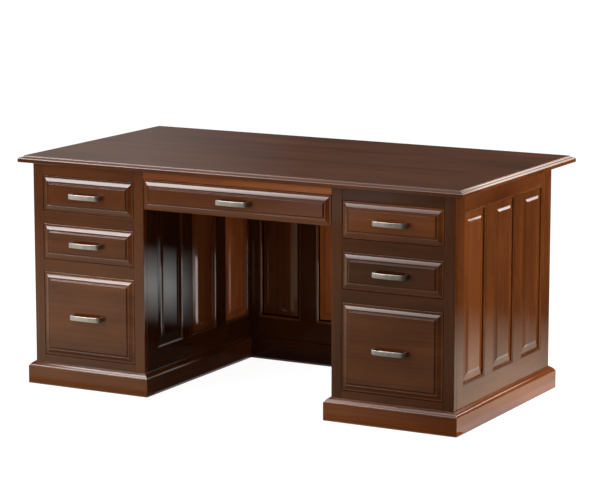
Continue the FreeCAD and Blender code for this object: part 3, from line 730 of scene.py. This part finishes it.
def make_piece(cad_node, suffix, skins, finish):
    """One object from its skins, in the place of a CAD node and on the same body. Its mitres are sharp."""
    sizes = [len(skin.points) for skin in skins]
    starts = np.cumsum([0] + sizes[:-1])
    points = (np.concatenate([skin.points for skin in skins]) + np.array([0, CARCASS_FRONT, 0])) * MM
    faces = np.concatenate([skin.quads + start for skin, start in zip(skins, starts)]).tolist()
    for skin, start in zip(skins, starts):
        faces += [(end + start).tolist() for end in skin.ends]
    mesh = bpy.data.meshes.new(cad_node + suffix)
    mesh.from_pydata(points.tolist(), [], faces)
    carried = (("grain", "FLOAT_VECTOR", "vector"), ("tone", "FLOAT", "value"), ("edge", "FLOAT", "value"))
    for name, kind, field in carried:
        values = np.concatenate([getattr(skin, name) for skin in skins]).astype(np.float32)
        mesh.attributes.new(name, kind, "POINT").data.foreach_set(field, values.ravel())
    mesh.shade_smooth()
    mesh.set_sharp_from_angle(angle=SHARP_ANGLE)
    strand = np.concatenate(
        [
            np.where(skin.strand < 0, -1, skin.strand + len(SLAB_CORNERS) * place)
            for place, skin in enumerate(skins)
        ]
    )
    ends = np.zeros(2 * len(mesh.edges), np.int32)
    mesh.edges.foreach_get("vertices", ends)
    ends = strand[ends.reshape(-1, 2)]
    mitre = (ends[:, 0] == ends[:, 1]) & (ends[:, 0] >= 0)
    sharp = np.zeros(len(mesh.edges), bool)
    mesh.edges.foreach_get("use_edge_sharp", sharp)
    mesh.edges.foreach_set("use_edge_sharp", sharp | mitre)
    mesh.materials.append(finish)
    piece = bpy.data.objects.new(cad_node + suffix, mesh)
    bpy.context.scene.collection.objects.link(piece)
    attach(piece, frame["nodes"][cad_node]["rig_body"])
    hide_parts(cad_node)


def dress_desk():
    """Every piece of the desk: new boards, mouldings and pulls, and finishes for the solids that stay."""
    wood = stained_wood("stained_wood")
    top_wood = stained_wood("stained_top", TOP_PLANK)
    nickel = pull_nickel()
    make_piece("desk_top", "_boards", desk_top(), top_wood)
    wall_length = CARCASS_DEPTH - FRAME_THICKNESS
    outer = panelled_wall(
        wall_length, OUTER_STILES, WALL_MULLION, WALL_PITCH, WALL_TOP_RAIL,
        "left", -CARCASS_WIDTH / 2 + FRAME_THICKNESS, CARCASS_DEPTH,
        OUTER_PANEL_TONES, OUTER_FRAME_TONE, OUTER_RAIL_PAINTED_LIGHT,
    )
    knee = panelled_wall(
        wall_length, KNEE_STILES, WALL_MULLION, WALL_PITCH, KNEE_TOP_RAIL,
        "right", -KNEE_WIDTH / 2 - FRAME_THICKNESS, FRAME_THICKNESS, KNEE_PANEL_PAINTED_SHADING, KNEE_FRAME_PAINTED_SHADE,
    )
    back = panelled_wall(
        PEDESTAL_WIDTH - 2 * FRAME_THICKNESS, (BACK_STILE, BACK_STILE), BACK_MULLION, BACK_PITCH,
        WALL_TOP_RAIL, "back", -KNEE_WIDTH / 2 - FRAME_THICKNESS, CARCASS_DEPTH - FRAME_THICKNESS,
    )
    pedestal = {
        "face_frame": face_frame(),
        "outer_side_frame": outer[0],
        "outer_side_panels": outer[1],
        "inner_side_frame": knee[0],
        "inner_side_panels": knee[1],
        "back_frame": back[0],
        "back_panels": back[1],
        "base_moulding": pedestal_base(),
    }
    for piece, skins in pedestal.items():
        make_piece("left_" + piece, "_boards", skins, wood)
        # The lift is painted shade on the face frame and painted light on the base moulding.
        lift = RIGHT_PEDESTAL_PAINTED_SHADING.get(piece, 0.0)
        make_piece("right_" + piece, "_boards", [skin.mirrored(lift) for skin in skins], wood)
    modesty = panelled_wall(
        KNEE_WIDTH, (MODESTY_STILE, MODESTY_STILE), WALL_MULLION, WALL_PITCH, WALL_TOP_RAIL,
        "front", -KNEE_WIDTH / 2, MODESTY_FRONT + FRAME_THICKNESS,
        MODESTY_PANEL_PAINTED_SHADING, MODESTY_FRAME_PAINTED_SHADE, double=True,
    )
    make_piece("modesty_frame", "_boards", modesty[0], wood)
    make_piece("modesty_panels", "_boards", modesty[1], wood)
    make_piece("modesty_base_moulding", "_boards", modesty_base(), wood)
    # Its tone is painted light.
    rail = board(
        (-KNEE_WIDTH / 2, 0, CARCASS_HEIGHT - CENTRE_RAIL_HEIGHT),
        (KNEE_WIDTH / 2, FRAME_THICKNESS, CARCASS_HEIGHT),
        0, 2 * BOARD_EASE, CENTRE_RAIL_PAINTED_LIGHT,
    )
    make_piece("centre_rail", "_boards", [rail], wood)
    for drawer, tones in DRAWER_TONES.items():
        make_piece(drawer + "_front", "_board", drawer_front(drawer + "_front", *tones), wood)
        make_piece(drawer + "_pull", "_strap", pull(drawer + "_pull"), nickel)
    maple = plain_timber("drawer_maple", colour(*MAPLE_DARK), colour(*MAPLE_LIGHT), 0.42)
    timber = plain_timber("inner_timber", colour(*TIMBER_DARK), colour(*TIMBER_LIGHT), 0.62)
    steel = slide_steel()
    for name, solid in frame["nodes"].items():
        if name.endswith("_slides"):
            finish = steel
        elif name.endswith("_box"):
            finish = maple
        elif name.endswith(("_cleats", "_rails", "_floor")):
            finish = timber
        else:
            continue
        for place in solid.material_slots:
            place.material = finish


def aimed(thing, location, target):
    thing.location = location
    thing.rotation_euler = (Vector(target) - Vector(location)).to_track_quat("-Z", "Y").to_euler()


def camera():
    """The photograph's view: a long lens, to the right of the desk and a little above it."""
    eye = Vector((VIEW_EYE[0], VIEW_EYE[1] + CARCASS_FRONT * MM, VIEW_EYE[2]))
    level = math.cos(VIEW_PITCH)
    ahead = Vector((math.sin(VIEW_YAW) * level, math.cos(VIEW_YAW) * level, -math.sin(VIEW_PITCH)))
    lens = bpy.data.cameras.new("camera")
    lens.sensor_width = VIEW_SENSOR
    lens.lens = VIEW_LENS
    seat = bpy.data.objects.new("camera", lens)
    aimed(seat, eye, eye + ahead)
    bpy.context.scene.collection.objects.link(seat)
    bpy.context.scene.camera = seat


def softbox(name, location, target, width, height, radiance):
    """Flat lamp of an even brightness, not seen in the lacquer: power = radiance x pi x area."""
    lamp = bpy.data.lights.new(name, "AREA")
    lamp.shape = "RECTANGLE"
    lamp.size, lamp.size_y = width, height
    lamp.energy = radiance * math.pi * width * height
    stand = bpy.data.objects.new(name, lamp)
    stand.visible_camera = stand.visible_glossy = False
    aimed(stand, location, target)
    bpy.context.scene.collection.objects.link(stand)


def seen_rays(tree):
    """One for rays from the camera, and for reflected and passed-on ones, so that these see the surround."""
    path = node(tree, "ShaderNodeLightPath").outputs
    seen = math_of(tree, "MAXIMUM", path["Is Camera Ray"], path["Is Glossy Ray"])
    return math_of(tree, "MAXIMUM", seen, path["Is Transmission Ray"])


def sheet_object(name, corners, material):
    """Flat sheet with four corners, for the floor and the cards round the desk."""
    mesh = bpy.data.meshes.new(name)
    mesh.from_pydata(corners, [], [(0, 1, 2, 3)])
    mesh.materials.append(material)
    sheet = bpy.data.objects.new(name, mesh)
    bpy.context.scene.collection.objects.link(sheet)
    return sheet


def card(name, corner, side, rise, *ramps, glow=1.0, tint=(1.0, 0.92, 0.88)):
    """Card that only reflections see, and only from its front, where its side turns to its rise.

    A card without ramps glows evenly. Otherwise its brightness is the product of even ramps: each has an
    axis, two places on it and its value at both.
    """
    finish, tree, shader = new_finish(name)
    shader.inputs["Base Color"].default_value = colour(0.0, 0.0, 0.0)
    shader.inputs["Specular IOR Level"].default_value = 0.0
    shader.inputs["Emission Color"].default_value = colour(*tint)
    shader.inputs["Emission Strength"].default_value = glow
    if ramps:
        place = node(tree, "ShaderNodeTexCoord").outputs["Object"]
        parts = node(tree, "ShaderNodeSeparateXYZ", {0: place}).outputs
        for axis, start, end, start_glow, end_glow in ramps:
            ramp = ranged(tree, parts[axis], start, end, start_glow, end_glow)
            glow = math_of(tree, "MULTIPLY", ramp, glow)
        tree.links.new(glow, shader.inputs["Emission Strength"])
    behind = node(tree, "ShaderNodeNewGeometry").outputs["Backfacing"]
    tree.links.new(math_of(tree, "SUBTRACT", 1.0, behind), shader.inputs["Alpha"])
    corner, side, rise = Vector(corner), Vector(side), Vector(rise)
    sheet = sheet_object(name, [corner, corner + side, corner + side + rise, corner + rise], finish)
    sheet.visible_camera = sheet.visible_diffuse = sheet.visible_shadow = False
    sheet.visible_transmission = sheet.visible_volume_scatter = False


def surround():
    """White surround, and a pale floor that keeps the desk's shadow."""
    scene = bpy.context.scene
    scene.view_settings.view_transform = "Standard"
    world = bpy.data.worlds.new("surround")
    scene.world = world
    world.use_nodes = True
    tree = world.node_tree
    backdrop = tree.nodes["Background"]
    backdrop.inputs["Color"].default_value = colour(1.0, 1.0, 1.0)
    tree.links.new(ranged(tree, seen_rays(tree), 0, 1, SURROUND_LIGHT, 1.0), backdrop.inputs["Strength"])

    finish, tree, shader = new_finish("floor")
    shader.inputs["Base Color"].default_value = colour(FLOOR_GREY, FLOOR_GREY, FLOOR_GREY)
    shader.inputs["Roughness"].default_value = 0.9
    shader.inputs["Specular IOR Level"].default_value = 0.0
    shader.inputs["Emission Color"].default_value = colour(1.0, 1.0, 1.0)
    tree.links.new(math_of(tree, "MULTIPLY", seen_rays(tree), FLOOR_GLOW), shader.inputs["Emission Strength"])
    far = FLOOR_REACH
    sheet_object("floor", [(-far, -far, 0), (far, -far, 0), (far, far, 0), (-far, far, 0)], finish)


def reflection_cards():
    """Bright and dark cards that show in the lacquer alone, each named for its place or what it lights."""
    low = CARD_LIFT
    # Round the desk: behind it, in front of it, to its right and above it
    card("curtain", (-6, 2.3, 0), (11, 0, 0), (0, 0, 1.45),
         ("X", -2.1, -1.2, 0.22, 0.06), ("X", 0.0, 1.0, 1.0, 0.3))
    card("screen", (6, -6.2, 0), (-15, 0, 0), (0, 0, 7),
         ("X", -8.5, -5.0, 0.5, 1.7), ("X", -4.6, -2.6, 1.0, 0.07), ("Z", 2.0, 3.0, 1.0, 0.3))
    card("right_screen", (5, 1, 0), (0, -7.2, 0), (0, 0, 5), glow=0.1)
    card("ceiling", (-9, -6.2, 5), (0, 8.5, 0), (15, 0, 0), glow=0.25)
    # On the floor, where the upright faces look
    card("front_rug", (-6, -6, low), (11, 0, 0), (0, 5.62, 0),
         ("X", -4.0, -2.6, 0.3, 0.85), ("X", -1.5, 0.0, 1.0, 0.33), ("X", 0.35, 0.75, 1.0, 0.15),
         ("Y", -3.7, -1.6, 0.25, 1.0), ("Y", -1.5, -1.0, 1.0, 1.2), ("Y", -0.54, -0.48, 1.0, 0.3),
         tint=(1.0, 0.97, 0.76))
    card("far_rug", (-2.05, -5.2, 2 * low), (0.6, 0, 0), (0, 1.6, 0), ("X", -2.05, -1.8, 0.2, 0.7))
    card("knee_rug", (-0.33, -0.38, low), (0.66, 0, 0), (0, 0.65, 0), glow=0.03)
    card("back_rug", (-3, 0.55, low), (3.86, 0, 0), (0, 7.5, 0), ("Y", 0.3, 1.35, 0.9, 0.02))
    card("side_rug", (0.86, -0.38, low), (5, 0, 0), (0, 8.38, 0),
         ("Y", 0.5, 1.5, 1.0, 0.02), ("X", 1.35, 2.3, 1.0, 0.1), tint=(1.0, 0.96, 0.8))
    card("rail_rug", (2.7, 3.0, 2 * low), (0.7, 0, 0), (0, 2.2, 0),
         ("X", 2.72, 2.86, 0.0, 0.22), tint=(1.0, 0.9, 0.6))
    # In the kneehole, for its panels
    card("knee_card", (-0.25, 0.26, 0.02), (0.55, 0, 0), (0, 0, 0.6),
         ("X", -0.16, -0.05, 0.0, 1.65), ("Z", 0.085, 0.215, 0.0, 1.0), ("Z", 0.25, 0.385, 1.0, 0.0),
         tint=(0.96, 1.0, 0.97))
    card("knee_glint", (0.33, 0.25, 0.04), (0, -0.36, 0), (0, 0, 0.25), ("Y", -0.1, 0.1, 0.5, 5.0))
    # Behind the right end, for the side panels' upper bevels and the edge of the top
    card("rim", (1.3, 1.95, 0.8), (1.0, 0, 0.39), (0, 0, 0.18),
         ("X", 1.45, 1.7, 4.5, 6.5), tint=(1.0, 0.9, 0.92))
    card("edge", (0.8, 0.6, 0.84), (0.5, 0, 0), (-0.16, 0, 0.48),
         ("Z", 0.87, 1.25, 3.2, 6.8), ("X", 0.66, 0.8, 0.0, 1.0), ("X", 0.98, 1.26, 1.0, 0.0),
         ("Z", 1.2, 1.32, 1.0, 0.0), tint=(1.0, 0.9, 0.82))
    # Overhead on the left, for the crowns and bevels of the drawer fronts
    card("skylight", (-2.7, -2.0, 3.1), (0, 1.55, 0), (2.5, 0, 0), ("X", -2.2, -1.0, 11.0, 3.5))
    card("high_window", (-3.5, -3.1, 3.8), (0, 0.9, 0), (2.6, 0, 0),
         ("X", -3.1, -2.4, 4.0, 9.0), ("X", -2.0, -1.4, 1.0, 0.12))
    card("window", (-5.2, -6.15, 4.0), (0, 2.5, 0), (3.9, 0, 0),
         ("X", -5.1, -4.5, 7.2, 13.5), ("X", -3.3, -2.25, 1.0, 0.36), ("X", -2.25, -1.4, 1.0, 0.4),
         tint=(1.0, 0.97, 0.98))


def lamps():
    """Soft lamps: place, target, width, height and brightness."""
    softbox("key", (-2.15, -3.2, 1.3), (-0.2, -0.4, 0.5), 1.15, 1.2, 6.2)
    softbox("bank", (-1.5, -2.9, 2.6), (0.0, -0.1, 0.5), 4.0, 3.0, 0.5)
    softbox("overhead", (0.3, 0.3, 3.5), (0.3, 0.0, 0.0), 2.0, 2.0, 3.0)
    softbox("side", (3.4, 1.5, 1.0), (0.8, 0.0, 0.5), 2.0, 1.4, 14.0)
    softbox("low_fill", (-1.2, -3.0, 0.2), (0.0, 0.3, 0.45), 2.4, 0.3, 4.5)
    softbox("knee_fill", (0.3, 0.12, 0.42), (-0.35, 0.2, 0.42), 0.16, 0.3, 3.2)


dress_desk()
camera()
surround()
reflection_cards()
lamps()
